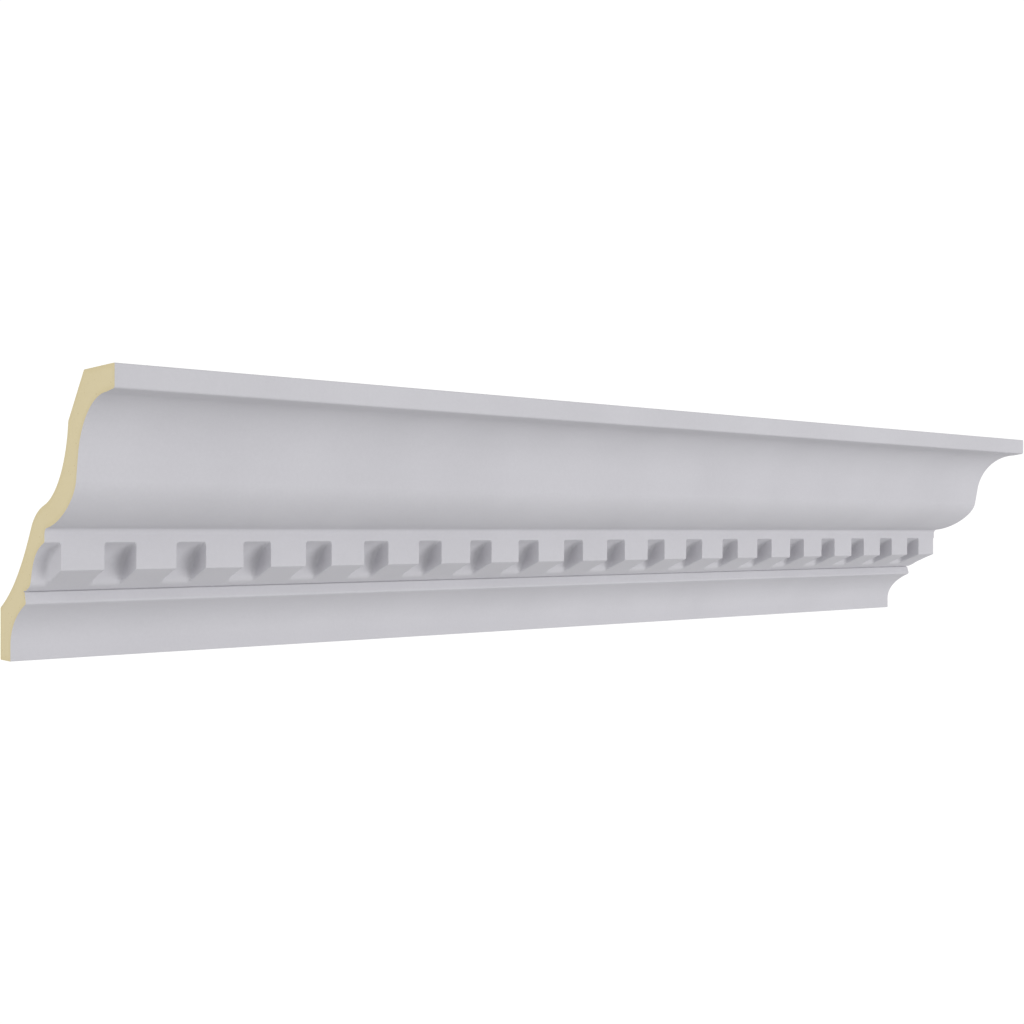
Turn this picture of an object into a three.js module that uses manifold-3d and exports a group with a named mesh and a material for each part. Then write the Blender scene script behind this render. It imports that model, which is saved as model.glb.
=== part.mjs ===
// Cornice moulding with a row of dentils, a sample length cut square at both ends.
// It is one moulding of dense rigid foam with a primed face, fixed where a wall meets a ceiling.
//
// Frame: +X along the run, +Y into the wall, +Z up. The origin is the middle of the land that
// lies against the wall, half way along the run. Sizes are in millimetres, angles in degrees.
//
// The outline across the run is worked down the front, member by member, from the top front edge
// to the foot, and the back is set off from the members in front of it. A lean is the angle of a
// face off vertical, positive where the face runs back to the wall as it goes down.

import * as THREE from 'three';
import { mergeVertices } from 'three/addons/utils/BufferGeometryUtils.js';
import Module from 'manifold-3d';

// The run
const length = 609.6;

// Fascia, and the narrow soffit behind it
const fasciaHeight = 8.8;
const soffitDepth = 6.7;
const soffitFall = 0.8;

// Cavetto, a hollow of one radius, and the straight waist that leads out of it
const cavettoRadius = 25.8;
const waistLength = 9.5;
const waistLean = 10.8;

// Ovolo, the round under the waist, which ends level over the dentil band
const ovoloDepth = 30.8;
const ovoloDrop = 17.6;

// Dentil band: a plain strip, and under it the fronts of the teeth in the same plane
const stripHeight = 5.5;
const toothHeight = 10.95;
const undersideDepth = 20.8;
const undersideFall = 8.85;

// Notches between the teeth, the first one centred on the left end
const dentilPitch = 30.78;
const notchWidth = 13.2;
const notchDepth = 14.7;
const notchCeilingLean = 72.6;
const notchBackLean = 13.7;

// Listel, a small fillet that leans out over the cove, with a rounded nose
const listelHeight = 4.7;
const listelReach = 1.4;
const noseRadius = 1.5;

// Cove, and the plain foot under it
const coveDepth = 17.1;
const coveDrop = 17.9;
const coveStartLean = 67.4;
const footHeight = 6.1;
const footThickness = 11.3;

// Back: flat lands against the ceiling and the wall, and the foam between front and back
const ceilingLand = 26.6;
const wallLand = 21.4;
const cavettoWall = 12.9;
const ovoloWall = 8.95;
const bandWall = 13.9;

// Back: where the flat chamfer ends round the cavetto, and how the back leans at its turns
const chamferEndAngle = 27;
const backLeanUnderChamfer = 6;
const backLeanOverBand = 75.4;
const backLeanBehindBand = 32.8;
const backLeanAtWall = 63.4;

// How far a bend keeps to its first and last direction, as a share of its chord
const ease = 0.36;
const ovoloStartEase = 0.25;
const ovoloEndEase = 0.33;
const notchEase = 0.45;

// Straight steps that stand for each curved member, and for a rounded corner
const curveSteps = 12;
const cornerSteps = 5;

// How far a notch's cutter reaches past the faces that it cuts
const overcut = 5;

const { sin, cos, tan } = Math;
const radians = THREE.MathUtils.degToRad;

// A point that lies back and down from another
function step(from, back, drop) {
  return new THREE.Vector2(from.x + back, from.y - drop);
}

// The direction in which a face with the given lean goes down
function downAlong(lean) {
  return new THREE.Vector2(sin(radians(lean)), -cos(radians(lean)));
}

// The point at a distance from a centre, at an angle over level, on the side of the wall
function around(centre, radius, angle) {
  return new THREE.Vector2(cos(radians(angle)), sin(radians(angle))).multiplyScalar(radius).add(centre);
}

// The points after the first of a smooth bend that leaves and arrives at the given leans
function bend(from, to, startLean, endLean, startEase = ease, endEase = ease) {
  const chord = from.distanceTo(to);
  const first = downAlong(startLean).multiplyScalar(startEase * chord).add(from);
  const second = downAlong(endLean).multiplyScalar(-endEase * chord).add(to);
  return new THREE.CubicBezierCurve(from, first, second, to).getPoints(curveSteps).slice(1);
}

// An arc in place of a sharp corner, from the side that leads to it to the side that leaves it
function roundedCorner(before, corner, after, radius) {
  const backwards = before.clone().sub(corner).normalize();
  const onwards = after.clone().sub(corner).normalize();
  const half = backwards.angleTo(onwards) / 2;
  const cut = radius / tan(half);
  const centre = backwards.clone().add(onwards).setLength(radius / sin(half)).add(corner);
  const start = backwards.multiplyScalar(cut).add(corner).sub(centre);
  const end = onwards.multiplyScalar(cut).add(corner).sub(centre);
  const clockwise = start.cross(end) < 0;
  const arc = new THREE.ArcCurve(centre.x, centre.y, radius, start.angle(), end.angle(), clockwise);
  return arc.getPoints(cornerSteps);
}

// Corners of the front, with x going back to the wall and y going up
const topFront = new THREE.Vector2(0, 0);
const fasciaFoot = step(topFront, 0, fasciaHeight);
const cavettoTop = step(fasciaFoot, soffitDepth, soffitFall);
const cavettoCentre = step(cavettoTop, 0, cavettoRadius);
const waistTop = around(cavettoCentre, cavettoRadius, waistLean);
const waistFoot = downAlong(waistLean).multiplyScalar(waistLength).add(waistTop);
const bandTop = step(waistFoot, ovoloDepth, ovoloDrop);
const notchTop = step(bandTop, 0, stripHeight);
const toothFoot = step(notchTop, 0, toothHeight);
const listelTop = step(toothFoot, undersideDepth, undersideFall);
const nose = step(listelTop, -listelReach, listelHeight);
const coveFoot = step(nose, coveDepth, coveDrop);
const footCorner = step(coveFoot, 0, footHeight);
const wallFoot = step(footCorner, footThickness, 0);

// Curved members of the front
const cavetto = new THREE.ArcCurve(
  cavettoCentre.x, cavettoCentre.y, cavettoRadius, radians(90), radians(waistLean), true,
).getPoints(curveSteps);
const ovolo = bend(waistFoot, bandTop, waistLean, 90, ovoloStartEase, ovoloEndEase);
const belowNose = downAlong(coveStartLean).add(nose);
const noseRound = roundedCorner(listelTop, nose, belowNose, noseRadius);
const cove = bend(noseRound.at(-1), coveFoot, coveStartLean, 0);

// Corners of the back, each set off from the member in front of it
const ceilingBack = step(topFront, ceilingLand, 0);
const chamferFoot = around(cavettoCentre, cavettoRadius + cavettoWall, chamferEndAngle);
const overBand = step(bandTop, 0, -ovoloWall);
const behindBand = step(bandTop, bandWall, 0);
const wallTop = step(wallFoot, 0, -wallLand);

const back = [
  ceilingBack,
  chamferFoot,
  ...bend(chamferFoot, overBand, backLeanUnderChamfer, backLeanOverBand),
  ...bend(overBand, behindBand, backLeanOverBand, backLeanBehindBand),
  ...bend(behindBand, wallTop, backLeanBehindBand, backLeanAtWall),
  wallFoot,
];
const front = [
  topFront,
  fasciaFoot,
  ...cavetto,
  waistFoot,
  ...ovolo,
  toothFoot,
  listelTop,
  ...noseRound,
  ...cove,
  footCorner,
];
const outline = [...front, ...back.toReversed()];

// A notch takes all that is in front of a hollow, which runs from the strip down to the underside
const undersideSlope = undersideFall / undersideDepth;
const notchFoot = step(toothFoot, notchDepth, notchDepth * undersideSlope);
const notchOutline = [
  notchTop,
  ...bend(notchTop, notchFoot, notchCeilingLean, notchBackLean, notchEase, notchEase),
  step(notchFoot, 0, overcut),
  new THREE.Vector2(toothFoot.x - overcut, notchFoot.y - overcut),
  step(notchTop, -overcut, 0),
];

// An outline run along X between two distances from the left end, in the part's own frame
function runAlong(points, start, end) {
  const acrossTheRun = new THREE.Matrix4().makeBasis(
    new THREE.Vector3(0, 1, 0), new THREE.Vector3(0, 0, 1), new THREE.Vector3(1, 0, 0),
  );
  const geometry = new THREE.ExtrudeGeometry(new THREE.Shape(points), {
    depth: end - start,
    bevelEnabled: false,
  });
  geometry.applyMatrix4(acrossTheRun);
  return geometry.translate(start - length / 2, -wallFoot.x, -wallFoot.y - wallLand / 2);
}

const wasm = await Module();
wasm.setup();

function toSolid(geometry) {
  const bare = geometry.clone();
  bare.deleteAttribute('normal');
  bare.deleteAttribute('uv');
  const merged = mergeVertices(bare);
  const vertProperties = new Float32Array(merged.attributes.position.array);
  const triVerts = new Uint32Array(merged.index.array);
  return new wasm.Manifold(new wasm.Mesh({ numProp: 3, vertProperties, triVerts }));
}

function toGeometry(solid) {
  const mesh = solid.getMesh();
  const geometry = new THREE.BufferGeometry();
  geometry.setAttribute('position', new THREE.BufferAttribute(mesh.vertProperties, 3));
  geometry.setIndex(new THREE.BufferAttribute(mesh.triVerts, 1));
  geometry.computeVertexNormals();
  return geometry;
}

// Notches sit a pitch apart, as far as the run reaches, and the ends cut through what they meet
let moulding = toSolid(runAlong(outline, 0, length));
for (let centre = 0; centre - notchWidth / 2 < length; centre += dentilPitch) {
  const notch = runAlong(notchOutline, centre - notchWidth / 2, centre + notchWidth / 2);
  moulding = moulding.subtract(toSolid(notch));
}

const primedFace = new THREE.MeshStandardMaterial({ color: 0xc8c7cc, roughness: 0.6, metalness: 0 });
const cornice = new THREE.Mesh(toGeometry(moulding), primedFace);
cornice.name = 'cornice_moulding';

const part = new THREE.Group();
part.add(cornice);

export default part;
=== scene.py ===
# %% [markdown]
# # A sample length of dentil cornice
#
# A cornice closes the corner where a wall meets a ceiling. This one is moulded in dense rigid foam,
# with its hollow, its round and its row of small blocks, the dentils, all in one piece. The face is
# primed at the factory, the back is bare, and a saw has cut the length square at both ends.
#
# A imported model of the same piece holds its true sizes, so the lesson starts by loading it. What is
# built here has to fit inside its box, and the box is kept so that the two can be compared.

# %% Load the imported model
import math

import bmesh
import bpy
import numpy as np
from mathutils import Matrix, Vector
from mathutils.geometry import delaunay_2d_cdt


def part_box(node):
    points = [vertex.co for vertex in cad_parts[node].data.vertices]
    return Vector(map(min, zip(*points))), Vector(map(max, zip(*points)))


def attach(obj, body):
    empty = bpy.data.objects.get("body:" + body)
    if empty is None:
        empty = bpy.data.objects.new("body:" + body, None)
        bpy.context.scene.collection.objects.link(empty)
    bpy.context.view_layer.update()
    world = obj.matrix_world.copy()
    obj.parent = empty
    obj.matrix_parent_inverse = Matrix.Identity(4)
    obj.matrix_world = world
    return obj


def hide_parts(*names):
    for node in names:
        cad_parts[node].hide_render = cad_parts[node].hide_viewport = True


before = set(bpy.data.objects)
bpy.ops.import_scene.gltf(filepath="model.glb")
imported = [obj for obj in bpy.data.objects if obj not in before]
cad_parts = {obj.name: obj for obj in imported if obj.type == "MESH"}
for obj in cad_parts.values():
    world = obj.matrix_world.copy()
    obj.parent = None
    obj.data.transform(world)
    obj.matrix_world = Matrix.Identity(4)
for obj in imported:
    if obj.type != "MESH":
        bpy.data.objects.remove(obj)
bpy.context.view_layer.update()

NODE = "cornice_moulding"
low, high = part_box(NODE)
print("packed piece, from", tuple(low), "to", tuple(high))

# %% [markdown]
# ## The camera
#
# The picture was taken from in front of the left end, level, and close enough for the run to narrow
# strongly to the right. A camera can be placed by eye, but here the lines of the run and of the cut
# end were followed to where they meet. That gives the focal length and the turn of the camera, and
# the horizon gives a small vertical shift, so the camera never has to tilt and uprights stay upright.

# %% Place the camera
MM = 0.001
IMAGE_PIXELS = 1024
FOCAL_PIXELS = 1337.03
HORIZON_PIXEL = 531.9
CAMERA_PLACE = Vector((-498.83, -556.55, 41.89)) * MM
CAMERA_TURN = math.radians(-40.153)

camera_data = bpy.data.cameras.new("camera")
camera_data.lens = FOCAL_PIXELS / IMAGE_PIXELS * camera_data.sensor_width
camera_data.shift_y = HORIZON_PIXEL / IMAGE_PIXELS - 0.5
camera_data.clip_start = 10 * MM
camera = bpy.data.objects.new("camera", camera_data)
camera.location = CAMERA_PLACE
camera.rotation_euler = (math.radians(90), 0, CAMERA_TURN)
bpy.context.scene.collection.objects.link(camera)
bpy.context.scene.camera = camera
print("focal length in mm", round(camera_data.lens, 2))

# %% [markdown]
# ## The members of the profile
#
# A moulding is read from the top down as a list of members: the flat fascia, a narrow soffit, the
# cavetto that hollows in, the straight waist, the ovolo that swells out, the dentil band, a listel,
# a cove and the plain foot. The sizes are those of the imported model, in millimetres. A lean is the
# angle of a face off vertical, positive where the face runs back to the wall as it goes down.

# %% Sizes of the members
run_length = (high.x - low.x) / MM

fascia_height = 8.8
soffit_depth = 6.7
soffit_fall = 0.8
cavetto_radius = 25.8
waist_length = 9.5
waist_lean = 10.8
ovolo_depth = 30.8
ovolo_drop = 17.6
strip_height = 5.5
tooth_height = 10.95
underside_depth = 20.8
underside_fall = 8.85
listel_height = 4.7
listel_reach = 1.4
cove_depth = 17.1
cove_drop = 17.9
cove_start_lean = 67.4
foot_height = 6.1
foot_thickness = 11.3

# %% Sizes of the notches and of the back
dentil_pitch = 30.78
notch_width = 13.2
notch_depth = 14.7
notch_ceiling_lean = 72.6
notch_back_lean = 13.7

ceiling_land = 26.6
wall_land = 21.4
cavetto_wall = 12.9
ovolo_wall = 8.95
band_wall = 13.9
chamfer_end_angle = 27
back_lean_under_chamfer = 6
back_lean_over_band = 75.4
back_lean_behind_band = 32.8
back_lean_at_wall = 63.4

# %% [markdown]
# ## Drawing with steps and bends
#
# The profile could be traced as one long list of points, but a list can't be changed by hand and
# shows facets. Each curve here is either an arc or a bend between two directions, which is how a
# draughtsman would set it out, so its smoothness only depends on how many steps are asked for.

# %% Helpers for points and curves
CURVE_STEPS = 26
EASE = 0.36


def step(start, back, drop):
    """The point that lies back and down from another."""
    return np.array((start[0] + back, start[1] - drop))


def down_along(lean):
    """The direction in which a face with this lean goes down."""
    return np.array((math.sin(math.radians(lean)), -math.cos(math.radians(lean))))


def around(centre, radius, angle):
    """The point on the wall side of a centre, at an angle over level."""
    return centre + radius * np.array((math.cos(math.radians(angle)), math.sin(math.radians(angle))))


def line(start, end):
    return np.array((start, end))


def bend(start, end, start_lean, end_lean, start_ease=EASE, end_ease=EASE):
    """A smooth curve that leaves and arrives at the given leans."""
    chord = np.linalg.norm(end - start)
    first = start + start_ease * chord * down_along(start_lean)
    second = end - end_ease * chord * down_along(end_lean)
    t = np.linspace(0, 1, CURVE_STEPS)[:, None]
    inner = 3 * t * (1 - t) ** 2 * first + 3 * t**2 * (1 - t) * second
    return (1 - t) ** 3 * start + inner + t**3 * end


# %% [markdown]
# ## Soft arrises
#
# Nothing that comes out of a mould has a knife edge. Where two members meet, both are cut back a
# little and a short curve joins them. These small rounds matter more than their size: each one
# catches a thin line of light, which is what tells the eye that the edge is real.

# %% Join members with small rounds
ROUND_STEPS = 6


def cut_back(points, reach):
    """A run of points with the last part of its length cut off."""
    lengths = np.linalg.norm(np.diff(points, axis=0), axis=1)
    travelled = np.concatenate(([0], np.cumsum(lengths)))
    stop = travelled[-1] - reach
    end = [np.interp(stop, travelled, points[:, axis]) for axis in (0, 1)]
    return np.vstack((points[travelled < stop], end))


def soften(before, after, reach):
    """Two runs that share a corner, joined by a curve that starts and ends at this reach from it."""
    if reach == 0:
        return np.vstack((before, after[1:]))
    corner = after[0]
    before = cut_back(before, reach)
    after = cut_back(after[::-1], reach)[::-1]
    t = np.linspace(0, 1, ROUND_STEPS + 1)[1:-1, None]
    curve = (1 - t) ** 2 * before[-1] + 2 * t * (1 - t) * corner + t**2 * after[0]
    return np.vstack((before, curve, after))


def join(start, *members):
    """A run made of several members, each given as its points and the reach of the round before it."""
    outline = start
    for points, reach in members:
        outline = soften(outline, points, reach)
    return outline


# %% [markdown]
# ## The front, from fascia to foot
#
# Each corner is worked out from the one above it, so a change to one member carries all that hangs
# below it. The outline is cut in four runs: the crown above the notches, the front of a tooth, the
# hollow of a notch, and the foot with the back. Both middle runs start and end on the same flats, so
# either one fits between the others. A thin dark line over the listel is a quirk, a slit half a
# millimetre high. It's cut as a shape, because a painted line would look the same in any light.

# %% Corners of the front
top_front = np.zeros(2)
fascia_foot = step(top_front, 0, fascia_height)
cavetto_top = step(fascia_foot, soffit_depth, soffit_fall)
cavetto_centre = step(cavetto_top, 0, cavetto_radius)
waist_top = around(cavetto_centre, cavetto_radius, waist_lean)
waist_foot = waist_top + waist_length * down_along(waist_lean)
band_top = step(waist_foot, ovolo_depth, ovolo_drop)
notch_top = step(band_top, 0, strip_height)
tooth_foot = step(notch_top, 0, tooth_height)
listel_top = step(tooth_foot, underside_depth, underside_fall)
nose = step(listel_top, -listel_reach, listel_height)
cove_foot = step(nose, cove_depth, cove_drop)
foot_corner = step(cove_foot, 0, foot_height)
wall_foot = step(foot_corner, foot_thickness, 0)

underside_slope = underside_fall / underside_depth
notch_foot = step(tooth_foot, notch_depth, notch_depth * underside_slope)
print("height and projection in mm", -wall_foot[1].round(2), wall_foot[0].round(2))

# %% Corners of the back
ceiling_back = step(top_front, ceiling_land, 0)
chamfer_foot = around(cavetto_centre, cavetto_radius + cavetto_wall, chamfer_end_angle)
over_band = step(band_top, 0, -ovolo_wall)
behind_band = step(band_top, band_wall, 0)
wall_top = step(wall_foot, 0, -wall_land)

# %% The crown, down to the plain strip over the notches
ARRIS = 0.5
FASCIA_ROUND = 1.1
BAND_FILLET = 2.7
OVOLO_START_EASE = 0.25
OVOLO_END_EASE = 0.33

ceiling_middle = (top_front + ceiling_back) / 2
strip_middle = (band_top + notch_top) / 2

angles = np.linspace(90, waist_lean, CURVE_STEPS)
cavetto = np.array([around(cavetto_centre, cavetto_radius, angle) for angle in angles])
ovolo = bend(waist_foot, band_top, waist_lean, 90, OVOLO_START_EASE, OVOLO_END_EASE)
crown = join(
    line(ceiling_middle, top_front),
    (line(top_front, fascia_foot), ARRIS),
    (np.vstack((fascia_foot, cavetto, ovolo)), FASCIA_ROUND),
    (line(band_top, strip_middle), BAND_FILLET),
)
print("points in the crown", len(crown))

# %% The front of a tooth and the hollow of a notch
NOTCH_FOOT_ROUND = 2
NOTCH_EASE = 0.45

underside_middle = (notch_foot + listel_top) / 2
hollow = bend(notch_top, notch_foot, notch_ceiling_lean, notch_back_lean, NOTCH_EASE, NOTCH_EASE)

tooth = join(
    line(strip_middle, tooth_foot),
    (line(tooth_foot, underside_middle), ARRIS),
)
notch = join(
    line(strip_middle, notch_top),
    (hollow, ARRIS),
    (line(notch_foot, underside_middle), NOTCH_FOOT_ROUND),
)

# %% The listel, the cove, the foot and the back
QUIRK_HEIGHT = 0.5
QUIRK_DEPTH = 0.9
QUIRK_ROUND = 0.15
NOSE = 1.15
CHAMFER_ROUND = 0.8

quirk_mouth = step(listel_top, -QUIRK_HEIGHT / underside_slope, -QUIRK_HEIGHT)
quirk_top = step(listel_top, QUIRK_DEPTH, -QUIRK_HEIGHT)
quirk_foot = step(listel_top, QUIRK_DEPTH, 0)

back = np.vstack((
    bend(chamfer_foot, over_band, back_lean_under_chamfer, back_lean_over_band),
    bend(over_band, behind_band, back_lean_over_band, back_lean_behind_band)[1:],
    bend(behind_band, wall_top, back_lean_behind_band, back_lean_at_wall)[1:],
))
cove_start = nose + NOSE * down_along(cove_start_lean)
cove = np.vstack((nose, bend(cove_start, cove_foot, cove_start_lean, 0), foot_corner))
foot = join(
    line(underside_middle, quirk_mouth),
    (line(quirk_mouth, quirk_top), QUIRK_ROUND),
    (line(quirk_top, quirk_foot), QUIRK_ROUND),
    (line(quirk_foot, listel_top), QUIRK_ROUND),
    (line(listel_top, nose), QUIRK_ROUND),
    (cove, NOSE),
    (line(foot_corner, wall_foot), ARRIS),
    (line(wall_foot, wall_top), ARRIS),
    (back[::-1], ARRIS),
    (line(chamfer_foot, ceiling_back), CHAMFER_ROUND),
    (line(ceiling_back, ceiling_middle), ARRIS),
)
print("points in the foot and back", len(foot))

# %% [markdown]
# ## Teeth and notches on shared heights
#
# A modeller would often cut the notches with a boolean and bevel the result, but that leaves stray
# faces where small rounds meet. Here the tooth and the notch are sampled at the same heights, so
# each height has a front and a depth. A notch wall is then only a walk from one to the other.

# %% Sample both runs at the same heights
HEIGHT_DIGITS = 2


def back_at(heights, points):
    """How far back a run lies at each height. Heights fall along the run."""
    return np.interp(heights, points[::-1, 1], points[::-1, 0])


heights = np.unique(np.concatenate((tooth[:, 1], notch[:, 1])).round(HEIGHT_DIGITS))[::-1]
heights[0] = strip_middle[1]
heights[-1] = underside_middle[1]
tooth_back = back_at(heights, tooth)
notch_back = back_at(heights, notch)
depth = notch_back - tooth_back
print("rows in the band", len(heights), "deepest in mm", depth.max().round(2))

# %% [markdown]
# ## The walls of a notch
#
# Seen in plan a notch wall is a small round at the tooth's edge, a nearly straight side with a little
# draft so that it leaves the mould, and a larger fillet where it meets the hollow. The round is crisp
# on the tooth's front and grows softer under it. Each station across the wall is kept as shares of
# the depth, of the round and of the fillet. Where the notch runs out to nothing, the shares fade with
# the depth, so the same stations lie flat there.

# %% Stations across one wall
WALL_ARRIS = 0.3
UNDERSIDE_ARRIS = 1.5
ARRIS_GROWTH = 2
WALL_DRAFT = 0.3
WALL_FILLET = 2
WALL_CORNER = 0.55
ARRIS_STEPS = 5
FILLET_STEPS = 7
SIDE_SHARES = (1 / 3, 2 / 3)

wall_steps = []
for turn in np.linspace(0, math.pi / 2, ARRIS_STEPS + 1):
    wall_steps.append((math.sin(turn) - 1, 0, 0, 1 - math.cos(turn), 0))
for share in SIDE_SHARES:
    wall_steps.append((0, WALL_DRAFT * share, share, 1 - share, share))
for turn in np.linspace(0, math.pi / 2, FILLET_STEPS + 1):
    wall_steps.append((0, WALL_DRAFT + WALL_FILLET * (1 - math.cos(turn)), 1, 0, 1 - math.sin(turn)))

below_foot = np.clip((tooth_foot[1] - heights) / ARRIS_GROWTH, 0, 1)
edge_round = WALL_ARRIS + (UNDERSIDE_ARRIS - WALL_ARRIS) * below_foot
fade = np.minimum(1, depth / (edge_round + WALL_FILLET))
corner_rise = np.clip(WALL_CORNER - (notch_top[1] - heights), 0, WALL_CORNER)
corner_inset = WALL_CORNER - np.sqrt(WALL_CORNER**2 - corner_rise**2)
print("stations across a wall", len(wall_steps))

# %% Stations along the whole run
half_notch = notch_width / 2
across = []
along = []
plain = []


def add_station(places, backs):
    along.append(np.broadcast_to(places, heights.shape))
    across.append(backs)


def add_wall(edge, side):
    """One wall of a notch. side is 1 where the notch lies towards +X of its edge, and -1 if not."""
    for before, past, share, arris, fillet in wall_steps[::side]:
        backs = tooth_back + share * depth + fade * (edge_round * arris - WALL_FILLET * fillet)
        add_station(edge + side * (before * edge_round + past + corner_inset), backs)


def add_plain(place, backs):
    plain.append(len(along))
    add_station(place, backs)


add_plain(0, notch_back)
notch_count = math.ceil((run_length + half_notch) / dentil_pitch)
for centre in dentil_pitch * np.arange(notch_count):
    if centre > half_notch:
        add_wall(centre - half_notch, 1)
    add_wall(centre + half_notch, -1)
    add_plain(centre + dentil_pitch / 2, tooth_back)

# %% Cut the run square at its right end
stations = np.array(along)
backs = np.array(across)
kept = int(np.argmax(stations.max(axis=1) >= run_length))
end_backs = [np.interp(run_length, stations[:, row], backs[:, row]) for row in range(len(heights))]
stations = np.vstack((stations[:kept], np.full(len(heights), run_length)))
backs = np.vstack((backs[:kept], end_backs))
plain = [index for index in plain if index < kept] + [kept]
print("stations", len(stations), "of them plain", len(plain))

# %% [markdown]
# ## From stations to one closed mesh
#
# Only the band with the notches needs stations close together. The crown, the foot and the back are
# straight, so they only get the plain stations, at the middle of each tooth and at the ends. On the
# two flats where fine meets coarse, one many-sided face per tooth takes up the difference.

# %% Number the vertices
plain_places = stations[plain, 0]
crown_rows = crown[:-1]
foot_rows = foot[1:-1]


def sweep(rows):
    """Vertices of straight rows, one for each plain station."""
    return [(x, back_, up) for back_, up in rows for x in plain_places]


band_vertices = [
    (stations[s, row], backs[s, row], heights[row])
    for row in range(len(heights))
    for s in range(len(stations))
]
vertices = sweep(crown_rows) + band_vertices + sweep(foot_rows)
crown_grid = np.arange(len(crown_rows) * len(plain)).reshape(-1, len(plain))
band_grid = np.arange(len(band_vertices)).reshape(len(heights), -1) + crown_grid.size
foot_grid = np.arange(len(foot_rows) * len(plain)).reshape(-1, len(plain)) + crown_grid.size + band_grid.size
print("vertices on the long faces", len(vertices))


# %% Long faces
def quads(grid):
    """Four-sided faces between neighbouring rows and columns, row by row."""
    corners = (grid[:-1, :-1], grid[1:, :-1], grid[1:, 1:], grid[:-1, 1:])
    return [tuple(int(i) for i in face) for face in np.stack(corners, axis=-1).reshape(-1, 4)]


def bridges(coarse, fine):
    """One face from each two coarse vertices to all the fine ones between them."""
    faces = []
    for left, right, first, last in zip(coarse[:-1], coarse[1:], plain[:-1], plain[1:]):
        faces.append((int(left), *(int(i) for i in fine[first : last + 1]), int(right)))
    return faces


cells = len(plain) - 1
faces = quads(crown_grid) + bridges(crown_grid[-1], band_grid[0]) + quads(band_grid)
faces += bridges(foot_grid[0], band_grid[-1]) + quads(foot_grid)
faces += quads(np.stack((foot_grid[-1], crown_grid[0])))
print("long faces", len(faces), "cells along the run", cells)

# %% [markdown]
# ## The sawn ends
#
# Foam is denser near the skin than in its core, and a saw cut shows it as a slightly darker rim. To
# paint that, the end face needs points inside it that know how far they are from the skin. A fill
# of evenly spaced points does it: they are joined up with the outline into triangles, and each keeps
# its depth as an attribute that the material reads.

# %% Helpers for the fill
FILL_SPACING = 1.2
FILL_MARGIN = 0.7
KEEP_INSIDE = 1
MERGE_DISTANCE = 1e-6


def skin_distance(points, outline):
    """The shortest distance from each point to a closed outline."""
    start = outline[None]
    along_edge = np.roll(outline, -1, axis=0)[None] - start
    offset = points[:, None] - start
    share = np.clip((offset * along_edge).sum(-1) / (along_edge**2).sum(-1), 0, 1)
    return np.linalg.norm(offset - share[..., None] * along_edge, axis=-1).min(axis=1)


def is_inside(points, outline):
    """Whether each point lies inside a closed outline, by counting the edges that a level ray meets."""
    x, y = points[:, None, 0], points[:, None, 1]
    x0, y0 = outline[None, :, 0], outline[None, :, 1]
    x1, y1 = np.roll(x0, -1), np.roll(y0, -1)
    spans = (y0 > y) != (y1 > y)
    slope = np.where(spans, (x1 - x0) / np.where(spans, y1 - y0, 1), 0)
    return (spans & (x < x0 + (y - y0) * slope)).sum(axis=1) % 2 == 1


def even_points(outline):
    """Staggered rows of points that fill an outline and keep a margin to it."""
    (left, bottom), (right, top) = outline.min(axis=0), outline.max(axis=0)
    rows = np.arange(bottom, top, FILL_SPACING * math.sqrt(3) / 2)
    columns = np.arange(left, right, FILL_SPACING)
    grid = [(x + FILL_SPACING / 2 * (i % 2), y) for i, y in enumerate(rows) for x in columns]
    points = np.array(grid)
    points = points[is_inside(points, outline)]
    return points[skin_distance(points, outline) > FILL_MARGIN]


# %% Fill both ends
skin_depth = [0.0] * len(vertices)
long_face_count = len(faces)


def fill_end(column):
    """Triangles over the end at one column of the grids, with points of their own inside."""
    grids = (crown_grid, band_grid, foot_grid)
    rim = np.concatenate([grid[:, column] for grid in grids])
    outline = np.array([vertices[i][1:] for i in rim])
    inner = even_points(outline)
    place = vertices[rim[0]][0]
    flat = [Vector(point) for point in np.vstack((outline, inner))]
    loop = list(range(len(rim)))
    triangles, sources = delaunay_2d_cdt(flat, [], [loop], KEEP_INSIDE, MERGE_DISTANCE)[2:4]
    first_inner = len(vertices)
    numbers = [*rim, *range(first_inner, first_inner + len(inner))]
    vertices.extend((place, *point) for point in inner)
    skin_depth.extend(skin_distance(inner, outline))
    faces.extend(tuple(int(numbers[sources[i][0]]) for i in triangle) for triangle in triangles)
    return len(inner)


print("points inside the ends", fill_end(0), fill_end(-1))

# %% [markdown]
# ## One piece, three finishes
#
# The moulding is one solid, so it is one mesh, and each finish is a material slot: primer on all
# that shows from the room, bare skin on the back and the two lands, and sawn foam at the ends. The
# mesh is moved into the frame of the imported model, in metres.

# %% Make the mesh
PRIMER_SLOT = 0
SKIN_SLOT = 1
SAWN_SLOT = 2

place_in_frame = np.array((-run_length / 2, -wall_foot[0], high.z / MM))
mesh = bpy.data.meshes.new("cornice")
mesh.from_pydata((np.array(vertices) + place_in_frame) * MM, [], faces)
depth_attribute = mesh.attributes.new("skin_depth", "FLOAT", "POINT")
depth_attribute.data.foreach_set("value", np.array(skin_depth, dtype=np.float32))


# %% Give each face its finish
TOUCH = 0.01 * MM
ceiling_height = high.z - TOUCH
wall_plane = high.y - TOUCH


def finish_of(face):
    if face.index >= long_face_count:
        return SAWN_SLOT
    if face.center.z > ceiling_height or face.center.y > wall_plane:
        return SKIN_SLOT
    first_back_face = long_face_count - cells * back_rows
    return SKIN_SLOT if face.index >= first_back_face else PRIMER_SLOT


wall_top_row = int(np.argmin(np.linalg.norm(foot_rows - wall_top, axis=1)))
back_rows = len(foot_rows) - wall_top_row
for face in mesh.polygons:
    face.material_index = finish_of(face)
counts = np.bincount([face.material_index for face in mesh.polygons])
print("faces with primer, skin and sawn foam", counts)

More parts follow.
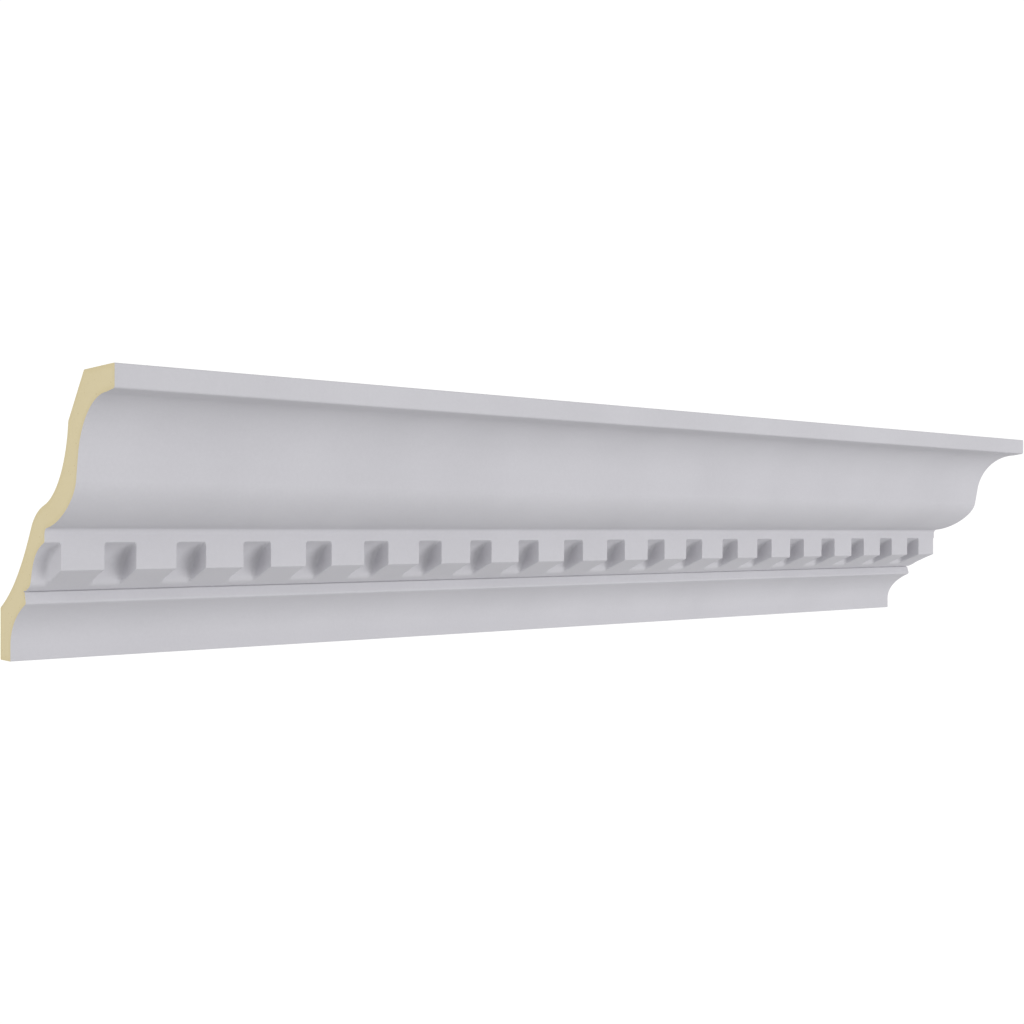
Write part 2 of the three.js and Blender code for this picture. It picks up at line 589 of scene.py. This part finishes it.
# %% Close and shade the mesh
SHARP_ANGLE = math.radians(40)

work = bmesh.new()
work.from_mesh(mesh)
bmesh.ops.recalc_face_normals(work, faces=work.faces)
open_edges = sum(len(edge.link_faces) != 2 for edge in work.edges)
triangle_count = sum(len(face.verts) - 2 for face in work.faces)
volume = work.calc_volume()
work.to_mesh(mesh)
work.free()
mesh.shade_smooth()
mesh.set_sharp_from_angle(angle=SHARP_ANGLE)
print("open edges", open_edges, "triangles", triangle_count, "volume in litres", round(volume * 1000, 4))

# %% Put the piece in the scene
cornice = bpy.data.objects.new("cornice_length", mesh)
bpy.context.scene.collection.objects.link(cornice)
weighted = cornice.modifiers.new("even shading", "WEIGHTED_NORMAL")
weighted.keep_sharp = True
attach(cornice, "root")
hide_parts(NODE)

# %% [markdown]
# ## Building materials from nodes
#
# A material made of nodes has no picture to run out of, so the same finish holds in a close look and
# from across the room. All patterns here are read in the object's own coordinates, in metres, so a
# scale of 1000 gives features about a millimetre across.

# %% Helpers for nodes
SRGB_KNEE = 0.04045


def paint(red, green, blue):
    """A screen colour, each part from 0 to 255, as the linear colour that a shader takes."""
    parts = np.array((red, green, blue)) / 255
    linear = np.where(parts > SRGB_KNEE, ((parts + 0.055) / 1.055) ** 2.4, parts / 12.92)
    return (*linear.tolist(), 1.0)


def add_node(tree, kind, inputs=None, **settings):
    """A node with its settings, and its inputs given as numbers or as sockets of other nodes."""
    node = tree.nodes.new(kind)
    for name, value in settings.items():
        setattr(node, name, value)
    for name, value in (inputs or {}).items():
        if isinstance(value, bpy.types.NodeSocket):
            tree.links.new(value, node.inputs[name])
        else:
            node.inputs[name].default_value = value
    return node


def new_material(name):
    material = bpy.data.materials.new(name)
    material.use_nodes = True
    tree = material.node_tree
    return material, tree, tree.nodes["Principled BSDF"]


def object_place(tree, stretch=(1, 1, 1)):
    """The place on the object, in metres, stretched along an axis by a number under one."""
    place = add_node(tree, "ShaderNodeTexCoord").outputs["Object"]
    return add_node(tree, "ShaderNodeMapping", {"Vector": place, "Scale": stretch}).outputs[0]


def noise(tree, place, scale, detail=2.0):
    inputs = {"Vector": place, "Scale": scale, "Detail": detail}
    return add_node(tree, "ShaderNodeTexNoise", inputs).outputs["Fac"]


def remap(tree, value, low_in, high_in, low_out=0.0, high_out=1.0):
    inputs = {
        "Value": value, "From Min": low_in, "From Max": high_in, "To Min": low_out, "To Max": high_out,
    }
    return add_node(tree, "ShaderNodeMapRange", inputs).outputs[0]


def calculate(tree, operation, first, second):
    return add_node(tree, "ShaderNodeMath", {0: first, 1: second}, operation=operation).outputs[0]


def mix_colours(tree, factor, first, second):
    inputs = {0: factor, 6: first, 7: second}
    return add_node(tree, "ShaderNodeMix", inputs, data_type="RGBA").outputs[2]


def bump(tree, height, distance, under=None):
    inputs = {"Height": height, "Distance": distance, "Strength": 1.0}
    if under is not None:
        inputs["Normal"] = under
    return add_node(tree, "ShaderNodeBump", inputs).outputs[0]


# %% [markdown]
# ## Primer
#
# The factory sprays a water-based primer in a cool pale grey. It dries matt with a faint sheen. Up
# close the surface has the fine stipple of the spray, and below that the long shallow waves of the
# mould. The tone drifts a little from place to place, because the coat isn't equally thick.

# %% Make the primer
PRIMER_PALE = paint(203, 202, 207)
PRIMER_DEEP = paint(198, 197, 202)
DRIFT_SHARE = 0.6
MIST_SHARE = 0.4
PRIMER_SPECULAR = 0.15
WAVE_HEIGHT = 0.08 * MM
STIPPLE_HEIGHT = 0.02 * MM

primer, tree, shader = new_material("factory_primer")
place = object_place(tree)
drift = remap(tree, noise(tree, place, 22, 3), 0.35, 0.65)
mist = remap(tree, noise(tree, place, 700), 0.3, 0.7)
drift_tone = calculate(tree, "MULTIPLY", drift, DRIFT_SHARE)
mist_tone = calculate(tree, "MULTIPLY", mist, MIST_SHARE)
tone = calculate(tree, "ADD", drift_tone, mist_tone)
tree.links.new(mix_colours(tree, tone, PRIMER_DEEP, PRIMER_PALE), shader.inputs["Base Color"])
tree.links.new(remap(tree, mist, 0, 1, 0.55, 0.65), shader.inputs["Roughness"])
shader.inputs["Specular IOR Level"].default_value = PRIMER_SPECULAR

waves = noise(tree, object_place(tree, (0.12, 1, 1)), 90, 1)
stipple = noise(tree, place, 1500, 2)
relief = bump(tree, stipple, STIPPLE_HEIGHT, bump(tree, waves, WAVE_HEIGHT))
tree.links.new(relief, shader.inputs["Normal"])

# %% [markdown]
# ## Sawn foam
#
# The cut shows closed cells about half a millimetre across, pale yellow, with a larger bubble here
# and there. The hollow of each cell and each bubble is sunk a little and painted darker, as painted
# shade. Near the skin the foam is denser, so its colour is a little deeper. The blade leaves faint
# scores. Light sinks in and comes out soft, which a matt shader gives well enough.

# %% Make the sawn foam
FOAM_PALE = paint(227, 214, 176)
FOAM_DEEP = paint(221, 207, 166)
# The bubble colour is painted shade inside the bubbles.
FOAM_BUBBLE_SHADE = paint(207, 192, 149)
CELLS_PER_METRE = 1900.0
BUBBLE_SPOTS_PER_METRE = 560.0
RIM_DEPTH = 2.4
CELL_DEPTH = 0.06 * MM
SCORE_DEPTH = 0.05 * MM
FOAM_SPECULAR = 0.2

sawn_foam, tree, shader = new_material("sawn_foam")
place = object_place(tree)
cells_edge = add_node(
    tree, "ShaderNodeTexVoronoi", {"Vector": place, "Scale": CELLS_PER_METRE}, feature="DISTANCE_TO_EDGE",
).outputs["Distance"]
cell_wall = remap(tree, cells_edge, 0.02, 0.3)
spots = add_node(tree, "ShaderNodeTexVoronoi", {"Vector": place, "Scale": BUBBLE_SPOTS_PER_METRE})
bubble_pick = remap(tree, spots.outputs["Color"], 0.66, 0.7)
bubble = remap(tree, spots.outputs["Distance"], 0.1, 0.2, 1, 0)
bubble = calculate(tree, "MULTIPLY", bubble, bubble_pick)
depth_from_skin = add_node(tree, "ShaderNodeAttribute", attribute_name="skin_depth").outputs["Fac"]
core = remap(tree, depth_from_skin, 0, RIM_DEPTH)
drift = noise(tree, place, 60, 3)
paleness = calculate(tree, "MULTIPLY", core, remap(tree, drift, 0.3, 0.7, 0.75, 1.0))
# Cell hollows are painted deeper than the cell walls, as painted shade where the bump sinks them.
paleness = calculate(tree, "MULTIPLY", paleness, remap(tree, cell_wall, 0, 1, 1.0, 0.7))
colour = mix_colours(tree, paleness, FOAM_DEEP, FOAM_PALE)
# Bubbles get their painted shade here.
colour = mix_colours(tree, bubble, colour, FOAM_BUBBLE_SHADE)
tree.links.new(colour, shader.inputs["Base Color"])
shader.inputs["Roughness"].default_value = 0.92
shader.inputs["Specular IOR Level"].default_value = FOAM_SPECULAR

scores = noise(tree, object_place(tree, (1, 1, 0.06)), 800, 1)
height = calculate(tree, "SUBTRACT", calculate(tree, "MULTIPLY", cell_wall, -0.5), bubble)
relief = bump(tree, height, CELL_DEPTH, bump(tree, scores, SCORE_DEPTH))
tree.links.new(relief, shader.inputs["Normal"])

# %% [markdown]
# ## The bare back
#
# Nobody sees the back once the piece is up, so it stays as it left the mould: a tan skin, smoother
# than the cut, with flow marks along the run and small pits where air was trapped. The pits are
# sunk by the bump and painted darker, as painted shade. Spray from the face drifts a few
# millimetres round the top and bottom edges and fades out.

# %% Make the bare skin
SKIN_PALE = paint(213, 199, 161)
SKIN_DEEP = paint(206, 191, 151)
# The pit colour is painted shade inside the pits.
SKIN_PIT_SHADE = paint(180, 162, 121)
OVERSPRAY_REACH = 9 * MM
OVERSPRAY_FRAY = 2.5 * MM
PIT_SPOTS_PER_METRE = 140.0
FLOW_HEIGHT = 0.12 * MM
GRAIN_HEIGHT = 0.04 * MM
PIT_DEPTH = 0.2 * MM
SKIN_SPECULAR = 0.35

bare_skin, tree, shader = new_material("bare_skin")
place = object_place(tree)
flow = noise(tree, object_place(tree, (0.15, 1, 1)), 70, 4)
colour = mix_colours(tree, remap(tree, flow, 0.35, 0.65), SKIN_DEEP, SKIN_PALE)
spots = add_node(tree, "ShaderNodeTexVoronoi", {"Vector": place, "Scale": PIT_SPOTS_PER_METRE})
pit = remap(tree, spots.outputs["Distance"], 0.05, 0.11, 1, 0)
pit_pick = remap(tree, spots.outputs["Color"], 0.5, 0.52)
pit = calculate(tree, "MULTIPLY", pit, pit_pick)
# Pits are painted darker here, as painted shade.
colour = mix_colours(tree, pit, colour, SKIN_PIT_SHADE)

axes = add_node(tree, "ShaderNodeSeparateXYZ", {0: place})
from_front = calculate(tree, "SUBTRACT", axes.outputs["Y"], low.y)
from_bottom = calculate(tree, "SUBTRACT", axes.outputs["Z"], low.z)
from_edge = calculate(tree, "MINIMUM", from_front, from_bottom)
fray = remap(tree, noise(tree, place, 160, 4), 0.3, 0.7, -OVERSPRAY_FRAY, OVERSPRAY_FRAY)
frayed = calculate(tree, "ADD", from_edge, fray)
overspray = remap(tree, frayed, 0, OVERSPRAY_REACH, 0.95, 0)
colour = mix_colours(tree, overspray, colour, PRIMER_PALE)
tree.links.new(colour, shader.inputs["Base Color"])
tree.links.new(remap(tree, flow, 0.3, 0.7, 0.48, 0.66), shader.inputs["Roughness"])
shader.inputs["Specular IOR Level"].default_value = SKIN_SPECULAR

grain = noise(tree, place, 420, 3)
relief = bump(tree, flow, FLOW_HEIGHT, bump(tree, grain, GRAIN_HEIGHT))
relief = bump(tree, calculate(tree, "MULTIPLY", pit, -1.0), PIT_DEPTH, relief)
tree.links.new(relief, shader.inputs["Normal"])

# %% Put the finishes on
for material in (primer, bare_skin, sawn_foam):
    mesh.materials.append(material)
print("finishes", [material.name for material in mesh.materials])

# %% [markdown]
# ## Floor and surround
#
# A cornice hangs high on its wall, so the floor lies almost three metres below and out of the
# picture, as in the catalogue picture. It still matters: it sends a little light up under the
# members. Round the piece is an even pale surround, and behind it a white patch of the world stands
# for a lit backdrop. It makes the ground of the picture white without shining on the face.

# %% Floor
FLOOR_DROP = 2.7
FLOOR_SIZE = 8

bpy.ops.mesh.primitive_plane_add(size=FLOOR_SIZE, location=(0, 0, -FLOOR_DROP))
floor = bpy.context.object
floor.name = "floor"
floor_paint, tree, shader = new_material("pale_floor")
shader.inputs["Base Color"].default_value = paint(226, 226, 226)
shader.inputs["Roughness"].default_value = 0.9
floor.data.materials.append(floor_paint)

# %% Surround with a white patch behind the piece
SURROUND = 0.52
BACKDROP = 1.05
BACKDROP_REACH = math.radians(32)
BACKDROP_FADE = math.radians(48)

world = bpy.data.worlds.new("studio")
world.use_nodes = True
tree = world.node_tree
look = camera.rotation_euler.to_matrix() @ Vector((0, 0, -1))
direction = add_node(tree, "ShaderNodeTexCoord").outputs["Generated"]
nearness = add_node(tree, "ShaderNodeVectorMath", {0: direction, 1: look}, operation="DOT_PRODUCT")
strength = remap(
    tree, nearness.outputs["Value"], math.cos(BACKDROP_FADE), math.cos(BACKDROP_REACH), SURROUND, BACKDROP,
)
sky = tree.nodes["Background"]
sky.inputs["Color"].default_value = (1, 1, 1, 1)
tree.links.new(strength, sky.inputs["Strength"])
bpy.context.scene.world = world
bpy.context.scene.view_settings.view_transform = "Standard"

# %% [markdown]
# ## Lamps
#
# Two large round soft boxes shape the piece. The key light comes from the right and from a little
# below, so that the hollows over it and the undersides fall into shade and each notch has one dark
# wall. The fill comes from the left, at the height of the piece, and lights the sawn end. Both are
# wide and far off, which keeps every shadow soft and the light even along the run.

# %% Lamps
LAMP_DISTANCE = 3.2
LAMP_RADIUS = 1.16


def add_lamp(name, azimuth, elevation, brightness):
    """A round lamp aimed at the piece. Azimuth 0 is straight in front and positive to the right."""
    turn, rise = math.radians(azimuth), math.radians(elevation)
    towards = Vector((math.sin(turn) * math.cos(rise), -math.cos(turn) * math.cos(rise), math.sin(rise)))
    data = bpy.data.lights.new(name, "AREA")
    data.shape = "DISK"
    data.size = 2 * LAMP_RADIUS
    data.energy = brightness * math.pi**2 * (LAMP_DISTANCE**2 + LAMP_RADIUS**2)
    lamp = bpy.data.objects.new(name, data)
    lamp.location = LAMP_DISTANCE * towards
    lamp.rotation_euler = towards.to_track_quat("Z", "Y").to_euler()
    bpy.context.scene.collection.objects.link(lamp)


add_lamp("key", 20, -6, 0.435)
add_lamp("fill", -78, 8, 0.3)
